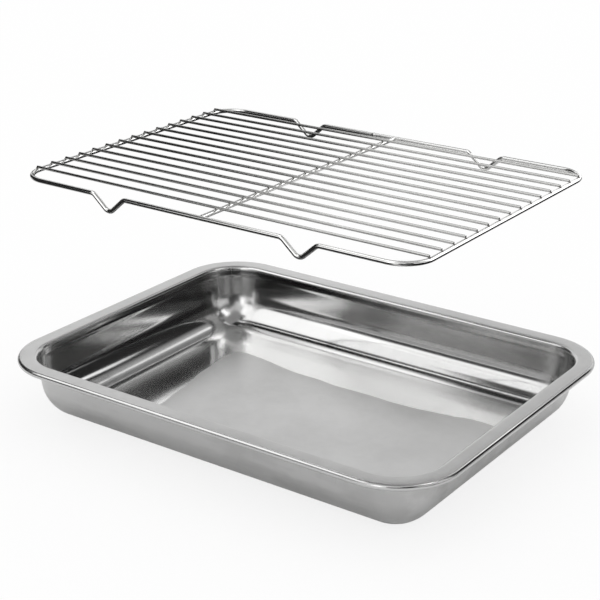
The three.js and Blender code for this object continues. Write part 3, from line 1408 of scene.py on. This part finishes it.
    @staticmethod
    def build_lamp(lamp: Lamp, lit: list[Piece]) -> None:
        """A rectangular soft lamp.

        Args:
            lamp: Its place and brightness.
            lit: The pieces that it lights.
        """
        data = bpy.data.lights.new(lamp.name, "AREA")
        data.shape = "RECTANGLE"
        data.size, data.size_y = lamp.sides
        data.energy = lamp.glow * math.pi * lamp.sides[0] * lamp.sides[1]
        data.use_nodes = True
        tree = NodeTree(data.node_tree)
        data.node_tree.nodes.clear()
        spot = tree.axes(tree.add("ShaderNodeNewGeometry").outputs["Parametric"])
        inner = []
        for axis, side in zip("XY", lamp.sides):
            away = tree.math("ABSOLUTE", tree.math("SUBTRACT", spot[axis], 0.5))
            inner.append(tree.math("MULTIPLY", tree.math("SUBTRACT", 0.5, away), side))
        edge = tree.span(tree.math("MINIMUM", *inner), 0.0, lamp.fade)
        light = tree.add("ShaderNodeEmission", {"Color": WHITE, "Strength": edge})
        tree.add("ShaderNodeOutputLight", {"Surface": light.outputs[0]})
        rig = bpy.data.objects.new(lamp.name, data)
        rig.location = lamp.middle
        rig.rotation_euler = [math.radians(angle) for angle in lamp.turn]
        rig.visible_camera = False
        bpy.context.scene.collection.objects.link(rig)
        group = bpy.data.collections.new(lamp.name)
        for piece in lit:
            group.objects.link(piece)
        rig.light_linking.receiver_collection = group

    def build_card(self, card: Card) -> None:
        """A card with soft edges that only reflections see.

        Args:
            card: Its corners, tone and edge.
        """
        low, high = Vector(card.low), Vector(card.high)
        middle, half = (low + high) / 2, (high - low) / 2
        axes = [axis for axis in range(3) if half[axis] > 0]
        corners = []
        for first, second in ((-1, -1), (1, -1), (1, 1), (-1, 1)):
            corner = middle.copy()
            corner[axes[0]] += first * half[axes[0]]
            corner[axes[1]] += second * half[axes[1]]
            corners.append(tuple(corner))
        material, tree = self.empty_material(card.name)
        places = tree.axes(tree.add("ShaderNodeTexCoord").outputs["Object"])
        inner = []
        for axis in axes:
            away = tree.math("ABSOLUTE", tree.math("SUBTRACT", places[axis], middle[axis]))
            inner.append(tree.math("SUBTRACT", half[axis], away))
        cover = tree.span(tree.math("MINIMUM", *inner), 0.0, card.fade)
        if card.from_above:
            below = tree.add("ShaderNodeNewGeometry").outputs["Backfacing"]
            cover = tree.math("MULTIPLY", cover, tree.math("SUBTRACT", 1.0, below))
        clear = tree.add("ShaderNodeBsdfTransparent")
        paint = tree.add("ShaderNodeBsdfDiffuse", {"Color": (card.tone, card.tone, card.tone, 1.0)})
        mix = tree.add("ShaderNodeMixShader", {0: cover, 1: clear.outputs[0], 2: paint.outputs[0]})
        tree.add("ShaderNodeOutputMaterial", {"Surface": mix.outputs[0]})
        sheet = self.stage_sheet(card.name, corners, material)
        for ray in ("camera", "diffuse", "transmission", "volume_scatter", "shadow"):
            setattr(sheet, f"visible_{ray}", False)

    def build_camera(self) -> None:
        """Camera at the photograph's angle."""
        azimuth, elevation = math.radians(self.camera_azimuth), math.radians(self.camera_elevation)
        flat = math.cos(elevation)
        back = Vector((math.sin(azimuth) * flat, -math.cos(azimuth) * flat, math.sin(elevation)))
        data = bpy.data.cameras.new("camera")
        data.lens = self.lens
        data.sensor_width = self.sensor
        camera = bpy.data.objects.new("camera", data)
        camera.location = Vector(self.camera_target) + back * self.camera_distance
        camera.rotation_euler = (-back).to_track_quat("-Z", "Y").to_euler()
        bpy.context.scene.collection.objects.link(camera)
        bpy.context.scene.camera = camera


def main() -> None:
    """Build the finishes, the pan, the rack and the studio in order."""
    logging.basicConfig(level=logging.INFO, format="%(message)s")
    book = FinishBook()
    sheet = Steel("pan_sheet_steel", (0.55, 0.549, 0.546), (0.48, 0.479, 0.476), satin=0.30, polished=0.095)
    thick = Steel("frame_wire_steel", (0.82, 0.82, 0.81), (0.76, 0.76, 0.75), satin=0.16, polished=0.08)
    # The grid wires' steel is a darker copy of the frame wire's: painted shade.
    thin = Steel("grid_wire_steel_painted_shade", (0.60, 0.60, 0.59), (0.54, 0.54, 0.53), satin=0.16, polished=0.08)
    # The welds' steel is dark: partly the welds' own colour, partly painted shade where the wires cross.
    weld = Steel("weld_steel_and_painted_shade", (0.22, 0.21, 0.20), (0.10, 0.095, 0.09), satin=0.42, polished=0.3)

    pan = PanShell().build(book.pan(sheet, BuffedFloor(), PanMarks()))
    rack = WireRack().build(
        frame_steel=book.wire(thick, along=1800.0, across=1800.0),
        shaded_grid_steel=book.wire(thin, along=30.0, across=4000.0),
        weld_steel_and_painted_shade=book.wire(weld, along=2500.0, across=2500.0),
    )
    Studio().build({Body.PAN: [pan], Body.RACK: rack})


if __name__ == "__main__":
    main()
